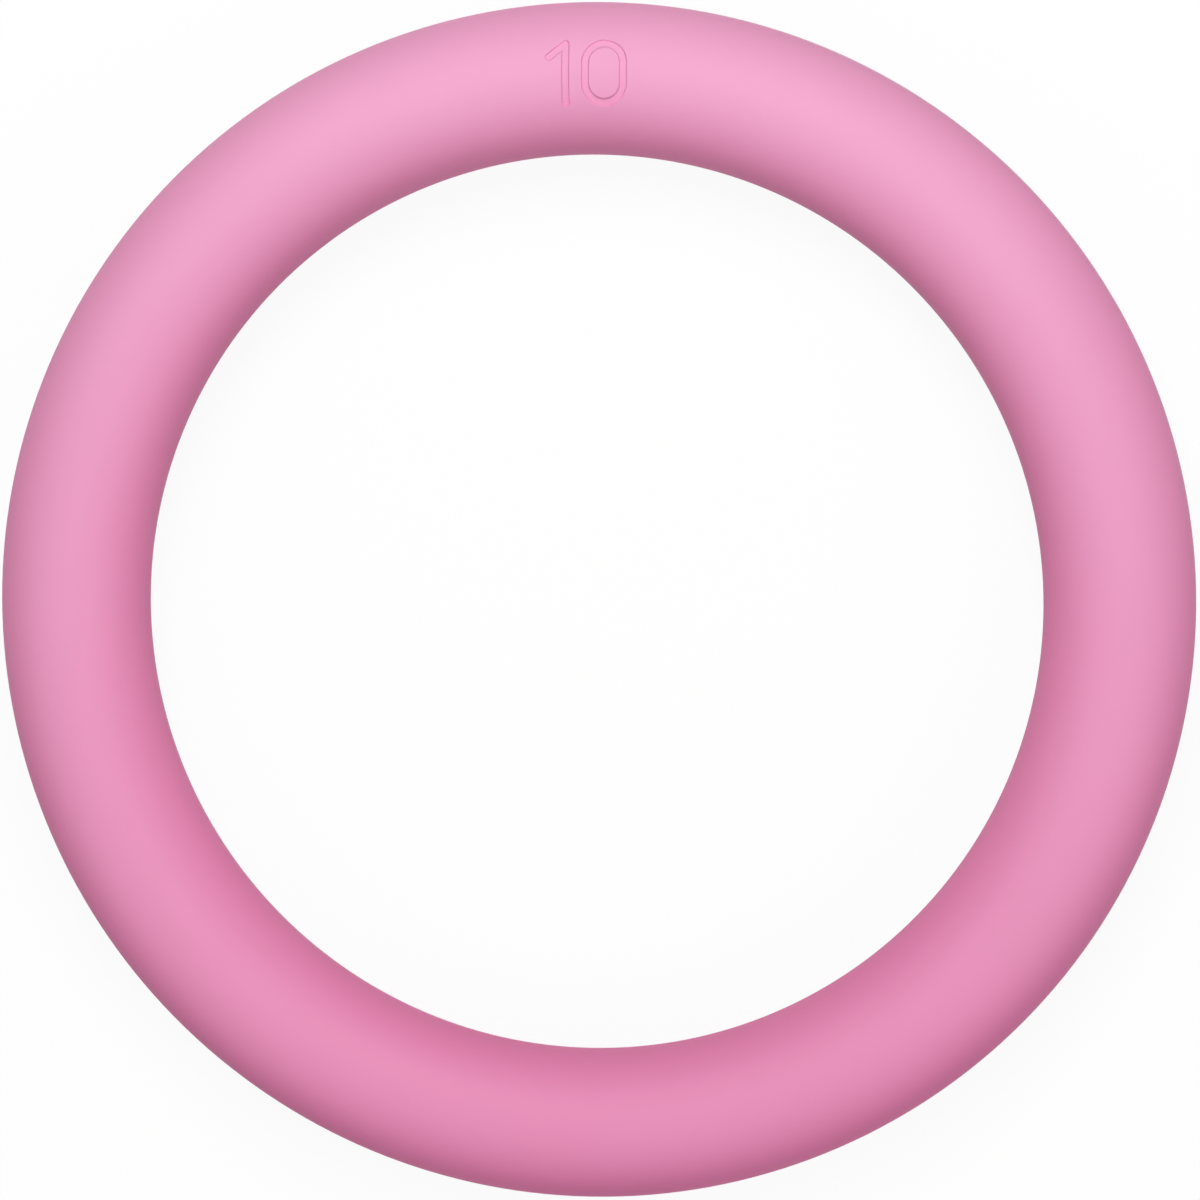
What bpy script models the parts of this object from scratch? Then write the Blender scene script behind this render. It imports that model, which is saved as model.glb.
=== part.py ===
"""Weighted power ring: a cast iron ring core inside a moulded silicone skin.

Run it with blender --background --python part.py, or from Blender's text editor.

The ring lies flat with its front face up. The world origin is under the middle of the ring, on the
surface that it lies on, and +Z is the ring's own axis. Lengths are in metres.

The pieces are the core casting and two half skins, front and back. The skins meet in a lap joint
along the ring's outer and inner edges, and their pegs key into pockets cast in the core, so that a
hand can't wring the skin round the iron.
"""

import math

import bmesh
import bpy
from mathutils import Matrix, Vector

# The whole ring.
RING_DIAMETER = 0.285
TUBE_DIAMETER = 0.0355

# The silicone skin. The land is the flat round each face that the ring rests on.
SKIN_WALL = 0.0020
REST_LAND_WIDTH = 0.0032
LIP_LENGTH = 0.0020

# Pieces that touch on the real ring stay this far apart here.
BOND_GAP = 0.0003

# The iron core. The land is the flat along each edge where the casting's flash is ground off.
FLASH_LAND_WIDTH = 0.0024

# The keys in each face: pegs under the skins, in pockets of the core.
KEY_COUNT = 8
KEY_FIRST_ANGLE = math.radians(22.5)
KEY_MOUTH_RADIUS = 0.0040
KEY_DEPTH = 0.0016
KEY_DRAFT = math.radians(18)
KEY_SIDES = 16

# Facets, and the least turn between two of them that shows as an edge.
RING_STEPS = 72
SKIN_ARC_STEPS = 8
LINING_ARC_STEPS = 11
CORE_ARC_STEPS = 9
EDGE_ANGLE = math.radians(30)

# Radii of the tube's section, from the outside in.
SKIN_RADIUS = TUBE_DIAMETER / 2
LAP_RADIUS = SKIN_RADIUS - SKIN_WALL / 2
REBATE_RADIUS = LAP_RADIUS + BOND_GAP / 2
LIP_RADIUS = LAP_RADIUS - BOND_GAP / 2
LINING_RADIUS = SKIN_RADIUS - SKIN_WALL
CORE_RADIUS = LINING_RADIUS - BOND_GAP

# Angles round the tube's section: 0 is the ring's outer edge, a quarter turn its front face and a
# half turn its inner edge.
FRONT = math.pi / 2
INNER_EDGE = math.pi
SEAM_ANGLE = BOND_GAP / 2 / SKIN_RADIUS
LIP_ANGLE = LIP_LENGTH / LAP_RADIUS
REBATE_ANGLE = LIP_ANGLE + BOND_GAP / LAP_RADIUS
REST_LAND_ANGLE = math.asin(REST_LAND_WIDTH / 2 / SKIN_RADIUS)
FLASH_LAND_ANGLE = math.asin(FLASH_LAND_WIDTH / 2 / CORE_RADIUS)

# The tube's centre runs round on this radius, at this height over the surface.
CENTRE_LINE_RADIUS = (RING_DIAMETER - TUBE_DIAMETER) / 2
CENTRE_HEIGHT = SKIN_RADIUS * math.cos(REST_LAND_ANGLE)

SILICONE_PINK = (0.83, 0.33, 0.54, 1.0)
IRON_GREY = (0.10, 0.10, 0.105, 1.0)


def clear_scene():
    for obj in list(bpy.data.objects):
        bpy.data.objects.remove(obj)


def new_collection(name):
    collection = bpy.data.collections.new(name)
    bpy.context.scene.collection.children.link(collection)
    return collection


def new_material(name, colour, roughness, metallic):
    material = bpy.data.materials.new(name)
    material.use_nodes = True
    shader = material.node_tree.nodes["Principled BSDF"]
    shader.inputs["Base Color"].default_value = colour
    shader.inputs["Roughness"].default_value = roughness
    shader.inputs["Metallic"].default_value = metallic
    material.diffuse_color = colour
    return material


def new_object(name, mesh, collection):
    obj = bpy.data.objects.new(name, mesh)
    collection.objects.link(obj)
    return obj


def section_point(radius, angle):
    """A point of the tube's section, in the XZ plane, with the ring's centre at the origin."""
    return Vector((CENTRE_LINE_RADIUS + radius * math.cos(angle), 0.0, radius * math.sin(angle)))


def arc(radius, start, end, steps=1):
    """Points on the circle, so that the facets lie just inside it."""
    angles = [start + (end - start) * step / steps for step in range(steps + 1)]
    return [section_point(radius, angle) for angle in angles]


def arc_outside(radius, start, end, steps):
    """Points just outside the circle, so that the facets touch it and clear what is within."""
    half_step = abs(end - start) / steps / 2
    return arc(radius / math.cos(half_step), start, end, steps)


def skin_outside():
    """The front skin's outside, from its inner edge over the flat land to its outer edge."""
    inner_flank = arc(SKIN_RADIUS, INNER_EDGE - SEAM_ANGLE, FRONT + REST_LAND_ANGLE, SKIN_ARC_STEPS)
    outer_flank = arc(SKIN_RADIUS, FRONT - REST_LAND_ANGLE, SEAM_ANGLE, SKIN_ARC_STEPS)
    return inner_flank + outer_flank


def front_skin_profile():
    """The half skin whose lips reach past the ring's edges, inside the back skin."""
    outer_lip = arc(LIP_RADIUS, SEAM_ANGLE, -LIP_ANGLE)
    lining = arc_outside(LINING_RADIUS, -LIP_ANGLE, INNER_EDGE + LIP_ANGLE, LINING_ARC_STEPS)
    inner_lip = arc(LIP_RADIUS, INNER_EDGE + LIP_ANGLE, INNER_EDGE - SEAM_ANGLE)
    return skin_outside() + outer_lip + lining + inner_lip


def back_skin_profile():
    """The half skin that is rebated to take the lips. It is drawn in front, then turned to the back."""
    outer_rebate = arc(REBATE_RADIUS, SEAM_ANGLE, REBATE_ANGLE)
    lining = arc_outside(LINING_RADIUS, REBATE_ANGLE, INNER_EDGE - REBATE_ANGLE, LINING_ARC_STEPS)
    inner_rebate = arc(REBATE_RADIUS, INNER_EDGE - REBATE_ANGLE, INNER_EDGE - SEAM_ANGLE)
    drawn = skin_outside() + outer_rebate + lining + inner_rebate
    return [Vector((point.x, point.y, -point.z)) for point in reversed(drawn)]


def core_profile():
    """A round bar with a narrow flat at each edge of the ring."""
    front = arc(CORE_RADIUS, INNER_EDGE - FLASH_LAND_ANGLE, FLASH_LAND_ANGLE, CORE_ARC_STEPS)
    back = arc(CORE_RADIUS, -FLASH_LAND_ANGLE, FLASH_LAND_ANGLE - INNER_EDGE, CORE_ARC_STEPS)
    return front + back


def turned_ring(name, profile, collection, material):
    """The closed profile, whose points run clockwise, turned about the ring's axis."""
    mesh = bpy.data.meshes.new(name)
    count = len(profile)
    edges = [(index, (index + 1) % count) for index in range(count)]
    mesh.from_pydata(profile, edges, [])
    mesh.materials.append(material)
    ring = new_object(name, mesh, collection)
    screw = ring.modifiers.new("turn", "SCREW")
    screw.axis = "Z"
    screw.angle = math.tau
    screw.steps = RING_STEPS
    screw.render_steps = RING_STEPS
    return ring


def key_radius(height):
    """A pocket's radius at this height over the tube's centre. It widens towards the core's surface."""
    return KEY_MOUTH_RADIUS - (CORE_RADIUS - height) * math.tan(KEY_DRAFT)


def row_of_keys(name, low, high, clearance, side, collection):
    """The drafted round keys of one face, as one mesh: side is 1 for the front and -1 for the back."""
    mesh = bpy.data.meshes.new(name)
    shape = bmesh.new()
    place = Matrix.Translation((CENTRE_LINE_RADIUS, 0.0, side * (low + high) / 2))
    upright = Matrix.Rotation(0.0 if side > 0 else math.pi, 4, "X")
    for index in range(KEY_COUNT):
        turn = Matrix.Rotation(KEY_FIRST_ANGLE + math.tau * index / KEY_COUNT, 4, "Z")
        bmesh.ops.create_cone(
            shape,
            cap_ends=True,
            segments=KEY_SIDES,
            radius1=key_radius(low) - clearance,
            radius2=key_radius(high) - clearance,
            depth=high - low,
            matrix=turn @ place @ upright,
        )
    shape.to_mesh(mesh)
    shape.free()
    keys = new_object(name, mesh, collection)
    keys.hide_render = True
    keys.display_type = "WIRE"
    return keys


def combine(target, keys, operation):
    boolean = target.modifiers.new(keys.name, "BOOLEAN")
    boolean.operation = operation
    boolean.object = keys
    boolean.solver = "EXACT"


def cut_pockets(core, side, cutters):
    """Round pockets in one face of the core."""
    name = "front_pockets" if side > 0 else "back_pockets"
    floor = CORE_RADIUS - KEY_DEPTH
    over_the_surface = CORE_RADIUS + KEY_DEPTH / 2
    pockets = row_of_keys(name, floor, over_the_surface, 0.0, side, cutters)
    combine(core, pockets, "DIFFERENCE")
    return pockets


def add_pegs(skin, side, cutters):
    """Pegs from within the skin's wall to just over the floors of the core's pockets."""
    name = "front_pegs" if side > 0 else "back_pegs"
    tip = CORE_RADIUS - KEY_DEPTH + BOND_GAP
    root = LINING_RADIUS + SKIN_WALL / 3
    pegs = row_of_keys(name, tip, root, BOND_GAP, side, cutters)
    combine(skin, pegs, "UNION")
    return pegs


def shading_nodes():
    """Nodes that shade a piece smooth everywhere but across its real edges."""
    group = bpy.data.node_groups.new("smooth_but_for_edges", "GeometryNodeTree")
    group.interface.new_socket("Geometry", in_out="INPUT", socket_type="NodeSocketGeometry")
    group.interface.new_socket("Geometry", in_out="OUTPUT", socket_type="NodeSocketGeometry")
    piece = group.nodes.new("NodeGroupInput")
    smooth_faces = group.nodes.new("GeometryNodeSetShadeSmooth")
    smooth_faces.domain = "FACE"
    turn = group.nodes.new("GeometryNodeInputMeshEdgeAngle")
    is_edge = group.nodes.new("ShaderNodeMath")
    is_edge.operation = "GREATER_THAN"
    is_edge.inputs[1].default_value = EDGE_ANGLE
    sharp_edges = group.nodes.new("GeometryNodeSetShadeSmooth")
    sharp_edges.domain = "EDGE"
    sharp_edges.inputs["Shade Smooth"].default_value = False
    shaded = group.nodes.new("NodeGroupOutput")
    group.links.new(piece.outputs[0], smooth_faces.inputs["Geometry"])
    group.links.new(smooth_faces.outputs[0], sharp_edges.inputs["Geometry"])
    group.links.new(turn.outputs["Unsigned Angle"], is_edge.inputs[0])
    group.links.new(is_edge.outputs[0], sharp_edges.inputs["Selection"])
    group.links.new(sharp_edges.outputs[0], shaded.inputs[0])
    return group


def build():
    clear_scene()
    parts = new_collection("weighted_power_ring")
    cutters = new_collection("cutters")

    cast_iron = new_material("cast_iron", IRON_GREY, 0.6, 1.0)
    front_silicone = new_material("front_silicone", SILICONE_PINK, 0.55, 0.0)
    back_silicone = new_material("back_silicone", SILICONE_PINK, 0.55, 0.0)

    core = turned_ring("core_ring", core_profile(), parts, cast_iron)
    front_skin = turned_ring("front_skin", front_skin_profile(), parts, front_silicone)
    back_skin = turned_ring("back_skin", back_skin_profile(), parts, back_silicone)
    keys = [
        cut_pockets(core, 1, cutters),
        cut_pockets(core, -1, cutters),
        add_pegs(front_skin, 1, cutters),
        add_pegs(back_skin, -1, cutters),
    ]

    shading = shading_nodes()
    for piece in (core, front_skin, back_skin):
        piece.modifiers.new("shading", "NODES").node_group = shading

    ring_centre = new_object("ring_centre", None, parts)
    ring_centre.location = (0.0, 0.0, CENTRE_HEIGHT)
    for obj in [core, front_skin, back_skin] + keys:
        obj.parent = ring_centre


build()
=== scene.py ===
"""Looks of the weighted power ring: its silicone skins, its iron core and the studio round it.

Run it in Blender 4.5 as a script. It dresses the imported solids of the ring, which it loads first.
The ring lies flat with its front face up, +Z is its own axis, and lengths are in metres.
"""

import math

import bmesh
import bpy
from bpy.props import FloatProperty, FloatVectorProperty, IntProperty, PointerProperty
from bpy.types import Operator, Panel, PropertyGroup
from mathutils import Matrix, Vector


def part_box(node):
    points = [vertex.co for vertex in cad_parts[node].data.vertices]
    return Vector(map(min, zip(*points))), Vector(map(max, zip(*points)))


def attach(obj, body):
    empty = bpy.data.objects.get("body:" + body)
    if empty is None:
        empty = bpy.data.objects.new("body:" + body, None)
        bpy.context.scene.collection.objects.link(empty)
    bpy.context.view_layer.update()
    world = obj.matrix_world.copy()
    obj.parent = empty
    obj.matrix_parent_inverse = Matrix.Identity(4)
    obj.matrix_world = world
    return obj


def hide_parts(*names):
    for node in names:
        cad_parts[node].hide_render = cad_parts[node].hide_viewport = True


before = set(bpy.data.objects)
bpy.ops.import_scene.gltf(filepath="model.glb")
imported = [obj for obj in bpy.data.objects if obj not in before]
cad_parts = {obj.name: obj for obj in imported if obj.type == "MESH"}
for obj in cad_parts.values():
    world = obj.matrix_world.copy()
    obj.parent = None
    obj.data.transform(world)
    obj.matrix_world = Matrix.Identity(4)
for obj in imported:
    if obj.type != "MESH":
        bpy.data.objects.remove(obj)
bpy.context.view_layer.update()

bl_info = {
    "name": "Weighted power ring",
    "version": (1, 0, 0),
    "blender": (4, 5, 0),
    "location": "3D View > Sidebar > Ring",
    "description": "Builds a silicone-covered exercise ring and its studio",
    "category": "Add Mesh",
}

SKIN_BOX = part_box("back_skin")
BODY = "root"

QUARTER_TURN = math.pi / 2

# Angles round the tube's section: 0 is the ring's outer edge.
FRONT = QUARTER_TURN
INNER_EDGE = 2 * QUARTER_TURN

# How far apart a mesh's points lie: round the figures, on the bead along the seam, and elsewhere.
# Along the walls of the figures the mesh is then halved a few times more.
FIGURE_SPACING = 0.0005
WALL_HALVINGS = 3
BEAD_SPACING = 0.0001
PLAIN_SPACING = 0.0012
PLAIN_RING_STEPS = 240
SHARP_EDGE = math.radians(60)
KEY_SIDES = 48

# How far past the figures the fine mesh reaches, in widths of a stroke.
MARGIN_ROUND_RING = 1.5
MARGIN_ROUND_TUBE = 1.0

# Points closer than this are one point.
SAME_PLACE = 0.000005

# How steeply the bead along the seam falls away to its edges.
BEAD_STEEPNESS = 4.0

# How far a peg reaches into the skin's wall, as a share of the wall.
PEG_ROOT = 1 / 3

WHITE = (1.0, 1.0, 1.0, 1.0)
SILICONE_IOR = 1.41

# Values of the noise at which the brown scale starts to show and covers the iron.
SCALE_COVERS = (0.45, 0.7)

# Where a pit's wall starts and stops rising from its middle, as shares of the pits' spacing.
PIT_WALL = (0.05, 0.35)

# Where a ground land starts and stops fading out, as shares of half its width.
LAND_FADES = (0.84, 1.1)

# Shares of the iron's relief: what sand and pits make of it, and what grinding takes off.
SAND_RELIEF = 0.6
PIT_RELIEF = 0.8
GROUND_OFF = 0.85

# How much rougher scale and sand leave the iron, and how much smoother grinding leaves it.
SCALE_ROUGHENS = 0.2
SAND_ROUGHENS = 0.1
GRINDING_SMOOTHS = 0.3

FLOOR_RADIUS = 6.0
FLOOR_SIDES = 96

# How far from the ring's axis the floor starts and stops fading to plain white.
SHADE_FADES = (0.2, 0.6)

# Each softbox: degrees round from +X, degrees down from straight overhead, distance and width.
SOFTBOXES = {
    "top_lamp": (90, 30, 0.9, 0.5),
    "right_lamp": (330, 50, 1.6, 0.9),
    "left_lamp": (210, 50, 1.6, 0.9),
}
SENSOR_WIDTH = 36.0


class RingSizes(PropertyGroup):
    """Sizes of the ring and its pieces."""

    ring_diameter: FloatProperty(
        name="Ring diameter",
        description="Across the outside of the ring",
        default=round(SKIN_BOX[1].x - SKIN_BOX[0].x, 4),
        unit="LENGTH",
    )
    tube_diameter: FloatProperty(
        name="Tube diameter",
        description="Across the round section that the hands grip",
        default=0.0355,
        unit="LENGTH",
    )
    skin_wall: FloatProperty(
        name="Skin wall",
        description="Thickness of the silicone over the iron",
        default=0.0020,
        unit="LENGTH",
    )
    rest_land: FloatProperty(
        name="Resting land",
        description="Width of the flat that the ring rests on",
        default=0.0032,
        unit="LENGTH",
    )
    lip_length: FloatProperty(
        name="Lip length",
        description="How far the front skin reaches inside the back skin",
        default=0.0020,
        unit="LENGTH",
    )
    inner_gap: FloatProperty(
        name="Inner gap",
        description="Clearance between the core and the skins, and inside the lap joint",
        default=0.0003,
        unit="LENGTH",
    )
    seam_gap: FloatProperty(
        name="Seam gap",
        description="Width of the hairline between the two skins",
        default=0.00004,
        unit="LENGTH",
    )
    bead_height: FloatProperty(
        name="Parting line height",
        description="How far the trimmed flash stands out along the seam",
        default=0.00010,
        unit="LENGTH",
    )
    bead_width: FloatProperty(
        name="Parting line width",
        description="How far the trimmed flash spreads on each side of the seam",
        default=0.0006,
        unit="LENGTH",
    )
    flash_land: FloatProperty(
        name="Ground land",
        description="Width of the flat ground along each edge of the iron core",
        default=0.0024,
        unit="LENGTH",
    )


class KeySizes(PropertyGroup):
    """Sizes of the pegs under the skins and of the core's pockets."""

    count: IntProperty(
        name="Keys in each face",
        description="Number of pegs and pockets round each face",
        default=8,
        min=1,
    )
    mouth_radius: FloatProperty(
        name="Mouth radius",
        description="Radius of a pocket at the core's surface",
        default=0.0040,
        unit="LENGTH",
    )
    depth: FloatProperty(
        name="Depth",
        description="Depth of a pocket",
        default=0.0016,
        unit="LENGTH",
    )
    draft: FloatProperty(
        name="Draft",
        description="Slope of a pocket's wall",
        default=math.radians(18),
        subtype="ANGLE",
    )


class FigureSizes(PropertyGroup):
    """Sizes of the plain weight figures sunk into the front face."""

    height: FloatProperty(
        name="Height",
        description="Height of the figures",
        default=0.0150,
        unit="LENGTH",
    )
    stroke: FloatProperty(
        name="Stroke",
        description="Width of a figure's stroke",
        default=0.0016,
        unit="LENGTH",
    )
    depth: FloatProperty(
        name="Depth",
        description="How deep the figures are sunk",
        default=0.0006,
        unit="LENGTH",
    )
    shoulder: FloatProperty(
        name="Shoulder",
        description="Width over which a stroke's wall slopes",
        default=0.0004,
        unit="LENGTH",
    )
    nought_width: FloatProperty(
        name="Nought's width",
        description="Width of the nought, measured at the middle of its stroke",
        default=0.0088,
        unit="LENGTH",
    )
    flag: FloatProperty(
        name="One's flag",
        description="How far the one's flag reaches from its stem",
        default=0.0038,
        unit="LENGTH",
    )
    flag_drop: FloatProperty(
        name="Flag's drop",
        description="How far the flag's end hangs below the top of the stem",
        default=0.00304,
        unit="LENGTH",
    )
    gap: FloatProperty(
        name="Gap",
        description="Space from the one's stem to the nought, measured at the middle of their strokes",
        default=0.0046,
        unit="LENGTH",
    )


class SkinFinish(PropertyGroup):
    """Finish of the silicone."""

    # The skin's colour runs from deep to pale pink. Most of the pale end is painted light: painted
    # sheen on the faces' crowns, and painted light towards the ring's top and on the sides that face
    # it. The rest is random clouding.
    deep_pink: FloatVectorProperty(
        name="Deep pink",
        description="Colour of the silicone where it has paled least",
        subtype="COLOR",
        size=4,
        default=(0.835, 0.175, 0.405, 1.0),
    )
    pale_pink: FloatVectorProperty(
        name="Pale pink",
        description="Colour of the silicone where it has paled most",
        subtype="COLOR",
        size=4,
        default=(0.835, 0.360, 0.567, 1.0),
    )
    # Share of pale pink at the edges at the ring's left and right, before the painted sheen, the
    # painted light and the clouding are added.
    pale_share: FloatProperty(
        name="Paling",
        description="How far the inner and outer edges have paled at the ring's left and right",
        default=0.40,
        subtype="FACTOR",
    )
    # Painted sheen: how much paler the faces' crowns are drawn than the edges, standing in for the
    # lamps' broad highlight.
    crown_painted_sheen: FloatProperty(
        name="Paling of the crowns",
        description="How much further the faces have paled than the edges",
        default=0.39,
        subtype="FACTOR",
    )
    # Painted light: how much paler the ring's top is drawn than its left and right, where the top lamp
    # falls most.
    top_painted_light: FloatProperty(
        name="Paling of the top",
        description="How much further the ring's top has paled than its left and right",
        default=0.22,
        subtype="FACTOR",
    )
    # Painted light: how much paler the sides that face the ring's top are drawn, as if the top lamp
    # lit them.
    upward_painted_light: FloatProperty(
        name="Paling of what faces up",
        description="How much further the sides that face the ring's top have paled",
        default=0.13,
        subtype="FACTOR",
    )
    clouding: FloatProperty(
        name="Clouding",
        description="How much the paling varies from place to place",
        default=0.1,
        subtype="FACTOR",
    )
    cloud_size: FloatProperty(
        name="Cloud size",
        description="How large the blotches of paler and deeper pink are",
        default=0.045,
        unit="LENGTH",
    )
    gloss: FloatProperty(
        name="Gloss",
        description="How strongly the skin mirrors, where 0.5 is a clean surface of its kind",
        default=0.35,
        subtype="FACTOR",
    )
    roughness: FloatProperty(
        name="Roughness",
        description="Roughness of the matte skin",
        default=0.58,
        subtype="FACTOR",
    )
    handling: FloatProperty(
        name="Handling",
        description="How much the roughness varies from place to place, as hands leave it",
        default=0.08,
        subtype="FACTOR",
    )
    handled_size: FloatProperty(
        name="Handled size",
        description="How large the patches are that hands have left rougher or smoother",
        default=0.03,
        unit="LENGTH",
    )
    seam_polish: FloatProperty(
        name="Seam polish",
        description="How much smoother the parting line is than the skin round it",
        default=0.06,
        subtype="FACTOR",
    )
    grain_height: FloatProperty(
        name="Grain height",
        description="Height of the fine grain that the mould leaves",
        default=0.000012,
        unit="LENGTH",
    )
    grain_size: FloatProperty(
        name="Grain size",
        description="How large the bumps of the grain are",
        default=0.00022,
        unit="LENGTH",
    )
    waves: FloatProperty(
        name="Waves",
        description="Height of the soft waves in the surface, in heights of the grain",
        default=1.5,
    )
    wave_size: FloatProperty(
        name="Wave size",
        description="How long the soft waves are",
        default=0.012,
        unit="LENGTH",
    )


class CoreFinish(PropertyGroup):
    """Finish of the iron casting."""

    iron: FloatVectorProperty(
        name="Iron",
        description="Colour of the blasted cast iron",
        subtype="COLOR",
        size=4,
        default=(0.13, 0.125, 0.12, 1.0),
    )
    scale: FloatVectorProperty(
        name="Casting scale",
        description="Colour of the thin brown scale left on the casting",
        subtype="COLOR",
        size=4,
        default=(0.085, 0.055, 0.04, 1.0),
    )
    ground: FloatVectorProperty(
        name="Ground iron",
        description="Colour of the ground lands",
        subtype="COLOR",
        size=4,
        default=(0.42, 0.41, 0.40, 1.0),
    )
    roughness: FloatProperty(
        name="Roughness",
        description="Roughness of the blasted iron, which its scale, sand and ground lands change",
        default=0.62,
        subtype="FACTOR",
    )
    relief_height: FloatProperty(
        name="Relief height",
        description="Height of the casting's sandy surface",
        default=0.00015,
        unit="LENGTH",
    )
    sand_size: FloatProperty(
        name="Sand size",
        description="How large the marks of the mould's sand are",
        default=0.0006,
        unit="LENGTH",
    )
    pit_spacing: FloatProperty(
        name="Pit spacing",
        description="How far apart the casting's pits are",
        default=0.0025,
        unit="LENGTH",
    )
    scale_size: FloatProperty(
        name="Scale size",
        description="How large the patches of brown scale are",
        default=0.02,
        unit="LENGTH",
    )


class Studio(PropertyGroup):
    """Camera, lamps and floor."""

    eye: FloatVectorProperty(
        name="Eye",
        description="The camera's place, from the middle of the ring",
        default=(0.0678, 0.0614, 0.8296),
        unit="LENGTH",
    )
    aim: FloatVectorProperty(
        name="Aim",
        description="The point that the camera looks at, from the middle of the ring",
        default=(0.0019, 0.0014, 0.0),
        unit="LENGTH",
    )
    lens: FloatProperty(
        name="Lens",
        description="Focal length on a sensor 36 mm wide",
        default=105.0,
        unit="CAMERA",
    )
    top_lamp: FloatProperty(
        name="Top lamp",
        description="Power of the softbox over the ring's top",
        default=5.0,
        unit="POWER",
    )
    right_lamp: FloatProperty(
        name="Right lamp",
        description="Power of the large softbox below the ring's right",
        default=6.35,
        unit="POWER",
    )
    left_lamp: FloatProperty(
        name="Left lamp",
        description="Power of the large softbox below the ring's left",
        default=3.43,
        unit="POWER",
    )
    sky: FloatProperty(
        name="Sky",
        description="Strength of the even light from all round",
        default=0.25,
        subtype="FACTOR",
    )
    shadow: FloatProperty(
        name="Shadow",
        description="How much of the floor's white is lit by the lamps, so that a shadow shows",
        default=0.08,
        subtype="FACTOR",
    )
    bounce: FloatProperty(
        name="Bounce",
        description="How much of the lamps' light the floor gives back to the ring",
        default=0.55,
        subtype="FACTOR",
    )
    flagged_bounce: FloatProperty(
        name="Flagged bounce",
        description="How much comes back where flags lie: outside the bottom and inside the top",
        default=0.17,
        subtype="FACTOR",
    )


class Socket:
    """A shader value that Python's operators work on."""

    def __init__(self, shading, output):
        self.shading = shading
        self.output = output

    def maths(self, operation, first, second):
        settings = {"operation": operation}
        return self.shading.node("ShaderNodeMath", settings, {0: first, 1: second})

    def __add__(self, other):
        return self.maths("ADD", self, other)

    __radd__ = __add__

    def __sub__(self, other):
        return self.maths("SUBTRACT", self, other)

    def __rsub__(self, other):
        return self.maths("SUBTRACT", other, self)

    def __mul__(self, other):
        return self.maths("MULTIPLY", self, other)

    __rmul__ = __mul__

    def __abs__(self):
        return self.maths("ABSOLUTE", self, 0.0)


class Shading:
    """The nodes of a material or a world, written as expressions."""

    def __init__(self, owner, output_kind="ShaderNodeOutputMaterial"):
        owner.use_nodes = True
        self.owner = owner
        self.output_kind = output_kind
        self.tree = owner.node_tree
        self.tree.nodes.clear()

    def node(self, kind, settings=None, inputs=None, output=0):
        """Adds a node, its settings first and then its inputs, and returns one of its outputs."""
        made = self.tree.nodes.new(kind)
        for name, value in (settings or {}).items():
            setattr(made, name, value)
        for name, value in (inputs or {}).items():
            if isinstance(value, Socket):
                self.tree.links.new(value.output, made.inputs[name])
            else:
                made.inputs[name].default_value = value
        return Socket(self, made.outputs[output]) if made.outputs else None

    def place(self):
        return self.node("ShaderNodeTexCoord", output="Object")

    def part_of(self, place, axis):
        """One coordinate of a place: X, Y or Z."""
        return self.node("ShaderNodeSeparateXYZ", inputs={0: place}, output=axis)

    def from_axis(self, place):
        """Distance of a place from the ring's own axis."""
        flat = self.node("ShaderNodeVectorMath", {"operation": "MULTIPLY"}, {0: place, 1: (1, 1, 0)})
        return self.node("ShaderNodeVectorMath", {"operation": "LENGTH"}, {0: flat}, "Value")

    def noise(self, place, size, detail=2.0, roughness=0.5):
        """Noise from 0 to 1, in blotches of about this size."""
        inputs = {"Vector": place, "Scale": 1 / size, "Detail": detail, "Roughness": roughness}
        return self.node("ShaderNodeTexNoise", inputs=inputs)

    def cells(self, place, size):
        """Distance to the nearest point of a scatter about this far apart, in shares of that."""
        return self.node("ShaderNodeTexVoronoi", inputs={"Vector": place, "Scale": 1 / size})

    def rising(self, value, low, high):
        """0 up to low and 1 from high on, with soft ends."""
        settings = {"interpolation_type": "SMOOTHSTEP"}
        return self.node("ShaderNodeMapRange", settings, {0: value, 1: low, 2: high})

    def mix(self, share, first, second):
        """A colour between two."""
        inputs = {0: share, 6: first, 7: second}
        return self.node("ShaderNodeMix", {"data_type": "RGBA"}, inputs, output=2)

    def bump(self, height, distance):
        """A normal from a height, where a height of 1 is this distance."""
        inputs = {"Height": height, "Distance": distance, "Strength": 1.0}
        return self.node("ShaderNodeBump", inputs=inputs)

    def matte(self, grey):
        return self.node("ShaderNodeBsdfDiffuse", inputs={"Color": (grey, grey, grey, 1.0)})

    def glow(self, strength):
        return self.node("ShaderNodeEmission", inputs={"Color": WHITE, "Strength": strength})

    def background(self, strength):
        return self.node("ShaderNodeBackground", inputs={"Color": WHITE, "Strength": strength})

    def mix_shaders(self, share, first, second):
        return self.node("ShaderNodeMixShader", inputs={0: share, 1: first, 2: second})

    def surface(self, shader):
        self.node(self.output_kind, inputs={"Surface": shader})
        return self.owner


def even_angles(start, end, radius, spacing):
    """Angles from start up to, but not with, end, set evenly and at most the spacing apart."""
    steps = max(1, math.ceil(abs(end - start) * radius / spacing))
    return [start + (end - start) * step / steps for step in range(steps)]


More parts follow.
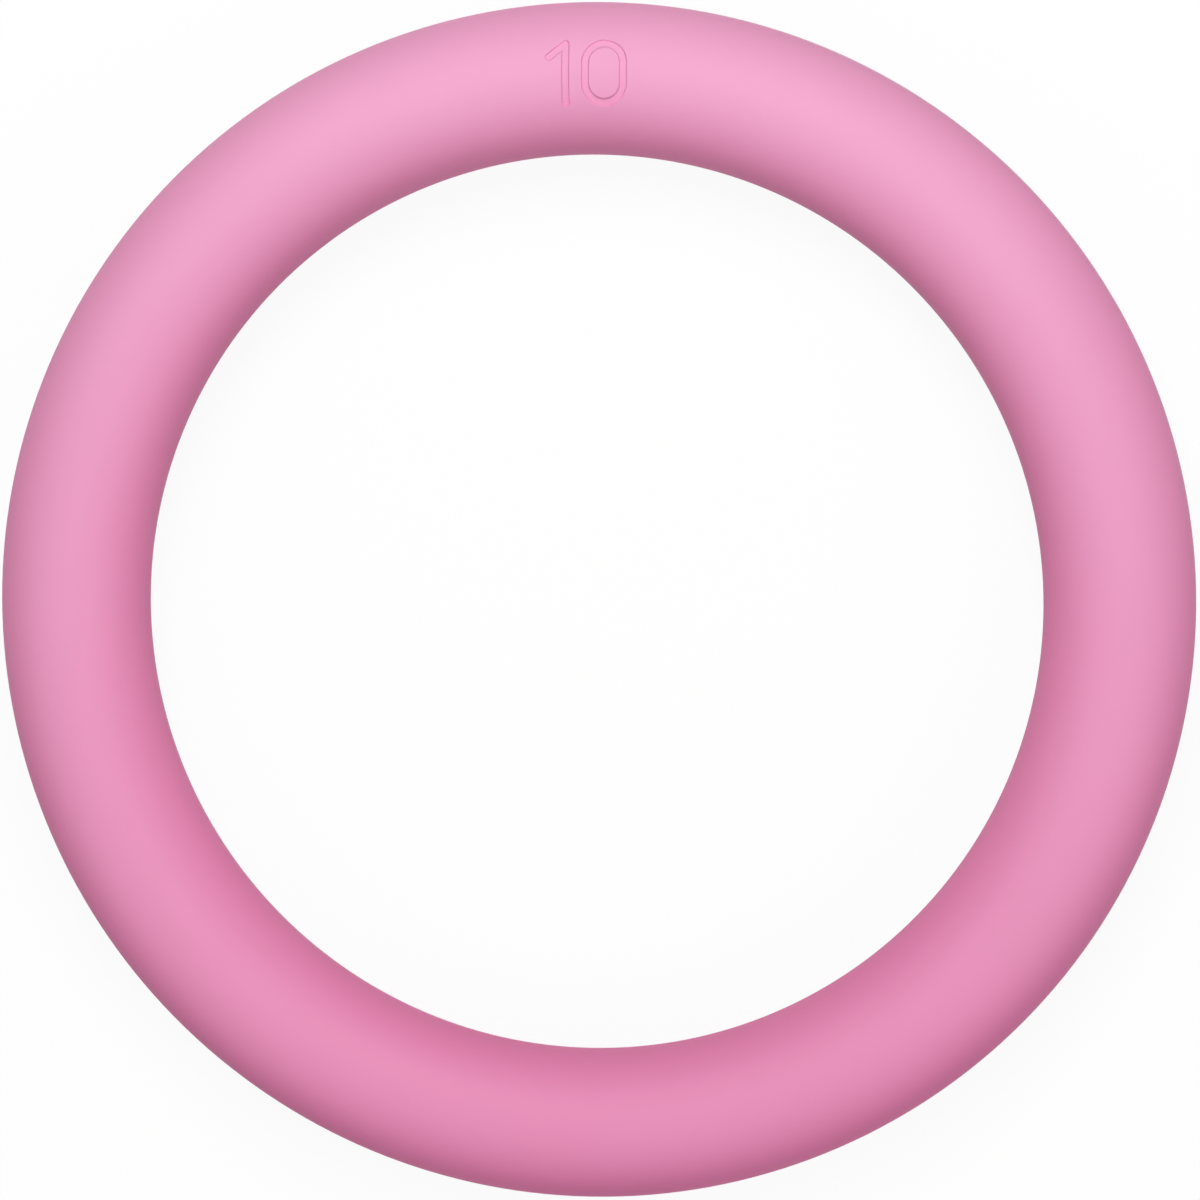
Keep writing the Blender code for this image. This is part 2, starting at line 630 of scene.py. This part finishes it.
class Section:
    """The tube's section in the XZ plane, in polar coordinates round its centre.

    Angle 0 is the ring's outer edge, a quarter turn its front face and a half turn its inner edge.
    """

    def __init__(self, sizes):
        self.skin = sizes.tube_diameter / 2
        self.lining = self.skin - sizes.skin_wall
        self.core = self.lining - sizes.inner_gap
        self.lap = self.skin - sizes.skin_wall / 2
        self.lip = self.lap - sizes.inner_gap / 2
        self.rebate = self.lap + sizes.inner_gap / 2
        self.across = (sizes.ring_diameter - sizes.tube_diameter) / 2
        self.rest_angle = math.asin(sizes.rest_land / 2 / self.skin)
        self.height = self.skin * math.cos(self.rest_angle)
        self.seam = sizes.seam_gap / 2 / self.skin
        self.lip_reach = sizes.lip_length / self.lap
        self.rebate_reach = self.lip_reach + sizes.inner_gap / self.lap
        self.bead_height = sizes.bead_height
        self.bead_reach = sizes.bead_width / self.skin
        self.flash = math.asin(sizes.flash_land / 2 / self.core)

    def point(self, radius, angle, side=1):
        """A point of the section: side is 1 for the front and -1 for its image at the back."""
        out = self.across + radius * math.cos(angle)
        return Vector((out, 0.0, self.height + side * radius * math.sin(angle)))

    def skin_radius(self, angle):
        """The skin's radius, which rises a little to a bead along the seam."""
        from_seam = min(abs(angle), abs(INNER_EDGE - angle)) / self.bead_reach
        return self.skin + self.bead_height * math.exp(-BEAD_STEEPNESS * from_seam * from_seam)

    def skin_angles(self, crown_half_angle, crown_spacing):
        """Angles over the outside of a half skin, from its inner edge to its outer edge."""
        stretches = [
            (INNER_EDGE - self.seam, BEAD_SPACING),
            (INNER_EDGE - self.bead_reach, PLAIN_SPACING),
            (FRONT + crown_half_angle, crown_spacing),
            (FRONT - crown_half_angle, PLAIN_SPACING),
            (self.bead_reach, BEAD_SPACING),
            (self.seam, 0.0),
        ]
        angles = []
        for (start, spacing), (end, _) in zip(stretches, stretches[1:]):
            angles += even_angles(start, end, self.skin, spacing)
        return angles + [self.seam]

    def lining_angles(self, start):
        end = INNER_EDGE - start
        return even_angles(start, end, self.lining, PLAIN_SPACING) + [end]

    def front_skin(self, figured_half_angle):
        """The closed profile of the front skin, whose lips reach inside the back skin."""
        outside = self.skin_angles(figured_half_angle, FIGURE_SPACING)
        lining = self.lining_angles(-self.lip_reach)
        return (
            [self.point(self.skin_radius(angle), angle) for angle in outside]
            + [self.point(self.lip, angle) for angle in (outside[-1], lining[0])]
            + [self.point(self.lining, angle) for angle in lining]
            + [self.point(self.lip, angle) for angle in (lining[-1], outside[0])]
        )

    def back_skin(self):
        """The closed profile of the back skin, rebated at its edges and flat where it rests."""
        outside = self.skin_angles(self.rest_angle, PLAIN_SPACING)
        lining = self.lining_angles(self.rebate_reach)
        profile = (
            [self.point(self.skin_radius(angle), angle, -1) for angle in outside]
            + [self.point(self.rebate, angle, -1) for angle in (outside[-1], lining[0])]
            + [self.point(self.lining, angle, -1) for angle in lining]
            + [self.point(self.rebate, angle, -1) for angle in (lining[-1], outside[0])]
        )
        for point in profile:
            point.z = max(point.z, 0.0)
        return profile

    def core_bar(self):
        """The closed profile of the core: round, with a flat ground along each edge."""
        end = INNER_EDGE - self.flash
        face = even_angles(self.flash, end, self.core, PLAIN_SPACING) + [end]
        front = [self.point(self.core, angle) for angle in face]
        back = [self.point(self.core, angle, -1) for angle in reversed(face)]
        return front + back


def spin(shape, geom, angle, steps, whole=False):
    """Spins the geometry about the ring's axis and returns where it ended."""
    made = bmesh.ops.spin(
        shape,
        geom=geom,
        cent=(0, 0, 0),
        axis=(0, 0, 1),
        angle=angle,
        steps=steps,
        use_merge=whole,
    )
    return made["geom_last"]


def spun(profile, figured_angle=0.0):
    """The closed profile spun into a ring, in finer steps over the figured angle round +Y."""
    shape = bmesh.new()
    corners = [shape.verts.new(point) for point in profile]
    edges = [shape.edges.new(pair) for pair in zip(corners, corners[1:] + corners[:1])]
    if figured_angle:
        arc = figured_angle * max(corner.co.x for corner in corners)
        end = spin(shape, corners + edges, figured_angle, math.ceil(arc / FIGURE_SPACING))
        spin(shape, end, math.tau - figured_angle, PLAIN_RING_STEPS)
        bmesh.ops.remove_doubles(shape, verts=shape.verts, dist=SAME_PLACE)
    else:
        spin(shape, corners + edges, math.tau, PLAIN_RING_STEPS, whole=True)
    start = Matrix.Rotation(QUARTER_TURN - figured_angle / 2, 4, "Z")
    bmesh.ops.transform(shape, matrix=start, verts=shape.verts)
    bmesh.ops.recalc_face_normals(shape, faces=shape.faces)
    return shape


def new_piece(name, shape):
    """An object at the origin that holds the shape."""
    mesh = bpy.data.meshes.new(name)
    shape.to_mesh(mesh)
    shape.free()
    piece = bpy.data.objects.new(name, mesh)
    bpy.context.scene.collection.objects.link(piece)
    return piece


def combine(piece, other, operation):
    """Adds the other object to the piece or cuts it away, and removes the other object.

    Faces left with more than four corners are cut up here, because an export may do that badly.
    """
    boolean = piece.modifiers.new(other.name, "BOOLEAN")
    boolean.operation = operation
    boolean.object = other
    graph = bpy.context.evaluated_depsgraph_get()
    combined = bpy.data.meshes.new_from_object(piece.evaluated_get(graph))
    shape = bmesh.new()
    shape.from_mesh(combined)
    bmesh.ops.remove_doubles(shape, verts=shape.verts, dist=SAME_PLACE)
    bmesh.ops.dissolve_degenerate(shape, edges=shape.edges, dist=SAME_PLACE)
    bmesh.ops.triangulate(shape, faces=[face for face in shape.faces if len(face.verts) > 4])
    shape.to_mesh(combined)
    shape.free()
    piece.modifiers.clear()
    piece.data = combined
    bpy.data.objects.remove(other)


def dress(piece, node, material):
    """Shades the piece, gives it its material and sets it in the node's place."""
    piece.data.materials.clear()
    piece.data.materials.append(material)
    piece.data.shade_smooth()
    piece.data.set_sharp_from_angle(angle=SHARP_EDGE)
    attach(piece, BODY)
    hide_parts(node)


def row_of_keys(section, keys, low, high, clearance, side):
    """The drafted round keys of one face, as one object."""
    shape = bmesh.new()
    place = Matrix.Translation((section.across, 0.0, section.height + side * (low + high) / 2))
    upright = Matrix.Rotation(0.0 if side > 0 else math.pi, 4, "X")
    taper = math.tan(keys.draft)
    for index in range(keys.count):
        turn = Matrix.Rotation(math.tau * (index + 0.5) / keys.count, 4, "Z")
        bmesh.ops.create_cone(
            shape,
            cap_ends=True,
            segments=KEY_SIDES,
            radius1=keys.mouth_radius - (section.core - low) * taper - clearance,
            radius2=keys.mouth_radius - (section.core - high) * taper - clearance,
            depth=high - low,
            matrix=turn @ place @ upright,
        )
    return new_piece("keys", shape)


def add_pegs(skin, section, sizes, keys, side):
    """Pegs from within the skin's wall to just over the floors of the core's pockets."""
    tip = section.core - keys.depth + sizes.inner_gap
    root = section.lining + sizes.skin_wall * PEG_ROOT
    combine(skin, row_of_keys(section, keys, tip, root, sizes.inner_gap, side), "UNION")


def cut_pockets(core, section, keys, side):
    """Pockets for the pegs, cut by keys that stand half their depth clear of the surface."""
    floor = section.core - keys.depth
    above = section.core + keys.depth / 2
    combine(core, row_of_keys(section, keys, floor, above, 0.0, side), "DIFFERENCE")


def distance_to_line(point, start, end):
    along = end - start
    share = max(0.0, min(1.0, (point - start).dot(along) / along.length_squared))
    return (point - start - along * share).length


def figures_width(figures):
    """Width of the one and the nought together, measured at the middle of their strokes."""
    return figures.flag + figures.gap + figures.nought_width


def distance_to_figures(point, figures):
    """Distance from the middle of the nearest stroke of a one and a nought that stand on the face.

    The nought is the outline at an even distance round an upright line.
    """
    half_width = figures_width(figures) / 2
    half_height = (figures.height - figures.stroke) / 2
    top = Vector((figures.flag - half_width, half_height))
    foot = Vector((top.x, -half_height))
    flag_end = top - Vector((figures.flag, figures.flag_drop))
    bend = figures.nought_width / 2
    upper = Vector((half_width - bend, half_height - bend))
    lower = Vector((upper.x, -upper.y))
    return min(
        distance_to_line(point, top, foot),
        distance_to_line(point, top, flag_end),
        abs(distance_to_line(point, upper, lower) - bend),
    )


def tube_place(vert, section):
    """A point's place in its own section of the tube: how far out it lies, and how high."""
    return Vector((vert.co.xy.length - section.across, vert.co.z - section.height))


def round_the_figures(vert, section, figures):
    """Whether a point is on the outside of the front face, within the figures' reach."""
    tube = tube_place(vert, section)
    reach = (figures_width(figures) + figures.height) / 2
    near = abs(vert.co.x) < reach and abs(vert.co.y - section.across) < reach
    return near and tube.y > 0 and tube.length > section.lap


def refine_walls(shape, section, figures):
    """Halves the mesh along the walls of the figures, and sets its new points on the round skin."""
    middle = Vector((0.0, section.across))
    spacing = FIGURE_SPACING
    for _ in range(WALL_HALVINGS):
        band = (figures.shoulder + spacing) / 2
        along_walls = set()
        for vert in shape.verts:
            if round_the_figures(vert, section, figures):
                distance = distance_to_figures(vert.co.xy - middle, figures)
                if abs(distance - figures.stroke / 2) < band:
                    along_walls.add(vert)
        edges = {edge for vert in along_walls for edge in vert.link_edges}
        made = bmesh.ops.subdivide_edges(shape, edges=list(edges), cuts=1, use_grid_fill=True)
        for vert in made["geom_inner"]:
            if isinstance(vert, bmesh.types.BMVert):
                outward = vert.co.xy.normalized()
                tube = tube_place(vert, section).normalized() * section.skin
                place = outward * (section.across + tube.x)
                vert.co = (place.x, place.y, section.height + tube.y)
        spacing /= 2


def sink_figures(shape, section, figures):
    """Sinks the figures into the crown of the front face at +Y, with soft shoulders."""
    middle = Vector((0.0, section.across))
    wall_start = (figures.stroke + figures.shoulder) / 2
    for vert in shape.verts:
        if round_the_figures(vert, section, figures):
            distance = distance_to_figures(vert.co.xy - middle, figures)
            share = max(0.0, min(1.0, (wall_start - distance) / figures.shoulder))
            vert.co.z -= figures.depth * share * share * (3 - 2 * share)


def silicone(name, section, finish):
    """Matte moulded silicone, finely grained, drawn paler on its faces and towards its top by painted
    sheen and painted light.
    """
    made = Shading(bpy.data.materials.new(name))
    place = made.place()
    from_seam = abs(made.part_of(place, "Z") - section.height)
    on_seam = 1 - made.rising(from_seam, 0.0, section.bead_reach * section.skin)
    crown = from_seam * from_seam * (1 / section.skin ** 2)
    top = made.part_of(place, "Y") * (1 / section.across)
    upward = (made.from_axis(place) - section.across) * (1 / section.skin) * top
    clouds = made.noise(place, finish.cloud_size, detail=3.0) - 0.5
    # The share of pale pink: painted sheen on the crowns, painted light towards the top and on the
    # sides that face it, and random clouding.
    pale_share = finish.pale_share + finish.crown_painted_sheen * crown + finish.top_painted_light * top
    pale_share += finish.upward_painted_light * upward + finish.clouding * clouds
    pink = made.mix(pale_share, tuple(finish.deep_pink), tuple(finish.pale_pink))
    handled = made.noise(place, finish.handled_size, detail=4.0, roughness=0.6) - 0.5
    roughness = finish.roughness + finish.handling * handled - finish.seam_polish * on_seam
    grain = made.noise(place, finish.grain_size, detail=3.0, roughness=0.6)
    relief = grain + finish.waves * made.noise(place, finish.wave_size)
    shader = made.node(
        "ShaderNodeBsdfPrincipled",
        inputs={
            "Base Color": pink,
            "Roughness": roughness,
            "IOR": SILICONE_IOR,
            "Specular IOR Level": finish.gloss,
            "Normal": made.bump(relief, finish.grain_height),
        },
    )
    return made.surface(shader)


def cast_iron(name, section, sizes, finish):
    """Blasted cast iron with pits and brown scale, and bright where its flash is ground off."""
    made = Shading(bpy.data.materials.new(name))
    place = made.place()
    patches = made.noise(place, finish.scale_size, detail=5.0, roughness=0.65)
    scale_here = made.rising(patches, *SCALE_COVERS)
    iron = made.mix(scale_here, tuple(finish.iron), tuple(finish.scale))
    from_edge = abs(made.part_of(place, "Z") - section.height)
    land_start, land_end = (share * sizes.flash_land / 2 for share in LAND_FADES)
    ground_here = 1 - made.rising(from_edge, land_start, land_end)
    colour = made.mix(ground_here, iron, tuple(finish.ground))
    sand = made.noise(place, finish.sand_size, detail=4.0, roughness=0.7)
    pits = made.rising(made.cells(place, finish.pit_spacing), *PIT_WALL)
    relief = (SAND_RELIEF * sand + PIT_RELIEF * pits) * (1 - GROUND_OFF * ground_here)
    roughness = finish.roughness + SCALE_ROUGHENS * scale_here + SAND_ROUGHENS * sand
    roughness -= GRINDING_SMOOTHS * ground_here
    shader = made.node(
        "ShaderNodeBsdfPrincipled",
        inputs={
            "Base Color": colour,
            "Roughness": roughness,
            "Metallic": 1.0,
            "Normal": made.bump(relief, finish.relief_height),
        },
    )
    return made.surface(shader)


def seen_by(made):
    """1 for the rays that look at the floor or the sky: from the camera, a gloss or through glass."""
    rays = [
        made.node("ShaderNodeLightPath", output=kind)
        for kind in ("Is Camera Ray", "Is Glossy Ray", "Is Transmission Ray")
    ]
    return rays[0] + rays[1] + rays[2]


def pale_floor(studio, section):
    """White to look at, with the lamps' own light and shade mixed in round the ring.

    What it gives back to the ring is set apart from that. Dark flags, out of sight, take most of
    what would light the sides that face the ring's bottom: they lie outside the ring at its bottom
    and inside it at its top.
    """
    made = Shading(bpy.data.materials.new("pale_floor"))
    place = made.place()
    from_axis = made.from_axis(place)
    shade = studio.shadow * (1 - made.rising(from_axis, *SHADE_FADES))
    looked_at = made.mix_shaders(shade, made.glow(1.0), made.matte(1.0))
    outside = made.rising(from_axis, section.across - section.skin, section.across + section.skin)
    top = made.rising(made.part_of(place, "Y"), -section.across, section.across)
    flagged = outside * (1 - top) + (1 - outside) * top
    unseen = made.mix_shaders(flagged, made.matte(studio.bounce), made.matte(studio.flagged_bounce))
    return made.surface(made.mix_shaders(seen_by(made), unseen, looked_at))


def light_sky(studio):
    """A world that is white to look at and lights the ring evenly from all round."""
    world = bpy.data.worlds.new("sky")
    made = Shading(world, "ShaderNodeOutputWorld")
    sky = made.mix_shaders(seen_by(made), made.background(studio.sky), made.background(1.0))
    bpy.context.scene.world = made.surface(sky)


def look_at(obj, place, target):
    """Faces the object at the target, with its own top towards the ring's top."""
    back = (place - target).normalized()
    right = Vector((0.0, 1.0, 0.0)).cross(back).normalized()
    obj.location = place
    obj.rotation_euler = Matrix((right, back.cross(right), back)).transposed().to_euler()


def add_softbox(name, turn, tilt, distance, size, power, target):
    """A square softbox that faces the target, out of the camera's sight.

    It stands this many degrees round from +X and this many down from straight overhead.
    """
    turn, tilt = math.radians(turn), math.radians(tilt)
    direction = Vector((math.cos(turn), math.sin(turn), 0.0)) * math.sin(tilt)
    direction.z = math.cos(tilt)
    data = bpy.data.lights.new(name, "AREA")
    data.shape = "SQUARE"
    data.size = size
    data.energy = power
    lamp = bpy.data.objects.new(name, data)
    bpy.context.scene.collection.objects.link(lamp)
    look_at(lamp, target + direction * distance, target)
    lamp.visible_camera = False


def add_camera(studio, middle):
    data = bpy.data.cameras.new("camera")
    data.sensor_width = SENSOR_WIDTH
    data.lens = studio.lens
    camera = bpy.data.objects.new("camera", data)
    bpy.context.scene.collection.objects.link(camera)
    look_at(camera, middle + Vector(studio.eye), middle + Vector(studio.aim))
    bpy.context.scene.camera = camera


class RING_OT_front_skin(Operator):
    """Builds the front half of the silicone skin, with its sunk figures."""

    bl_idname = "ring.front_skin"
    bl_label = "Front skin"

    def execute(self, context):
        scene = context.scene
        sizes, figures = scene.ring_sizes, scene.ring_figures
        section = Section(sizes)
        figured_across = figures_width(figures) + 2 * MARGIN_ROUND_RING * figures.stroke
        figured_half_height = figures.height / 2 + MARGIN_ROUND_TUBE * figures.stroke
        figured_half_angle = figured_half_height / section.skin
        profile = section.front_skin(figured_half_angle)
        shape = spun(profile, figured_across / section.across)
        refine_walls(shape, section, figures)
        sink_figures(shape, section, figures)
        skin = new_piece("front_skin_moulding", shape)
        add_pegs(skin, section, sizes, scene.ring_keys, 1)
        material = silicone("front_silicone", section, scene.ring_skin)
        dress(skin, "front_skin", material)
        return {"FINISHED"}


class RING_OT_back_skin(Operator):
    """Builds the back half of the silicone skin."""

    bl_idname = "ring.back_skin"
    bl_label = "Back skin"

    def execute(self, context):
        scene = context.scene
        section = Section(scene.ring_sizes)
        skin = new_piece("back_skin_moulding", spun(section.back_skin()))
        add_pegs(skin, section, scene.ring_sizes, scene.ring_keys, -1)
        material = silicone("back_silicone", section, scene.ring_skin)
        dress(skin, "back_skin", material)
        return {"FINISHED"}


class RING_OT_core(Operator):
    """Builds the iron casting inside the skins."""

    bl_idname = "ring.core"
    bl_label = "Iron core"

    def execute(self, context):
        scene = context.scene
        section = Section(scene.ring_sizes)
        core = new_piece("core_casting", spun(section.core_bar()))
        for side in (1, -1):
            cut_pockets(core, section, scene.ring_keys, side)
        material = cast_iron("cast_iron", section, scene.ring_sizes, scene.ring_core)
        dress(core, "core_ring", material)
        return {"FINISHED"}


class RING_OT_stage(Operator):
    """Sets up the floor, the sky, the lamps and the camera."""

    bl_idname = "ring.stage"
    bl_label = "Stage"

    def execute(self, context):
        scene = context.scene
        studio = scene.ring_studio
        section = Section(scene.ring_sizes)
        middle = Vector((0.0, 0.0, section.height))
        shape = bmesh.new()
        bmesh.ops.create_circle(shape, cap_ends=True, segments=FLOOR_SIDES, radius=FLOOR_RADIUS)
        floor = new_piece("floor", shape)
        floor.data.materials.append(pale_floor(studio, section))
        light_sky(studio)
        for name, (turn, tilt, distance, size) in SOFTBOXES.items():
            add_softbox(name, turn, tilt, distance, size, getattr(studio, name), middle)
        add_camera(studio, middle)
        scene.view_settings.view_transform = "Standard"
        return {"FINISHED"}


class RING_PT_panel(Panel):
    """Lists the steps that build the ring and its studio."""

    bl_idname = "RING_PT_panel"
    bl_label = "Weighted power ring"
    bl_space_type = "VIEW_3D"
    bl_region_type = "UI"
    bl_category = "Ring"

    def draw(self, context):
        for operator in OPERATORS:
            self.layout.operator(operator.bl_idname)


GROUPS = {
    "ring_sizes": RingSizes,
    "ring_keys": KeySizes,
    "ring_figures": FigureSizes,
    "ring_skin": SkinFinish,
    "ring_core": CoreFinish,
    "ring_studio": Studio,
}
OPERATORS = (RING_OT_front_skin, RING_OT_back_skin, RING_OT_core, RING_OT_stage)


def register():
    for group in GROUPS.values():
        bpy.utils.register_class(group)
    for name, group in GROUPS.items():
        setattr(bpy.types.Scene, name, PointerProperty(type=group))
    for operator in OPERATORS:
        bpy.utils.register_class(operator)
    bpy.utils.register_class(RING_PT_panel)


def unregister():
    bpy.utils.unregister_class(RING_PT_panel)
    for operator in reversed(OPERATORS):
        bpy.utils.unregister_class(operator)
    for name, group in GROUPS.items():
        delattr(bpy.types.Scene, name)
        bpy.utils.unregister_class(group)


def main():
    register()
    bpy.ops.ring.front_skin()
    bpy.ops.ring.back_skin()
    bpy.ops.ring.core()
    bpy.ops.ring.stage()


if __name__ == "__main__":
    main()
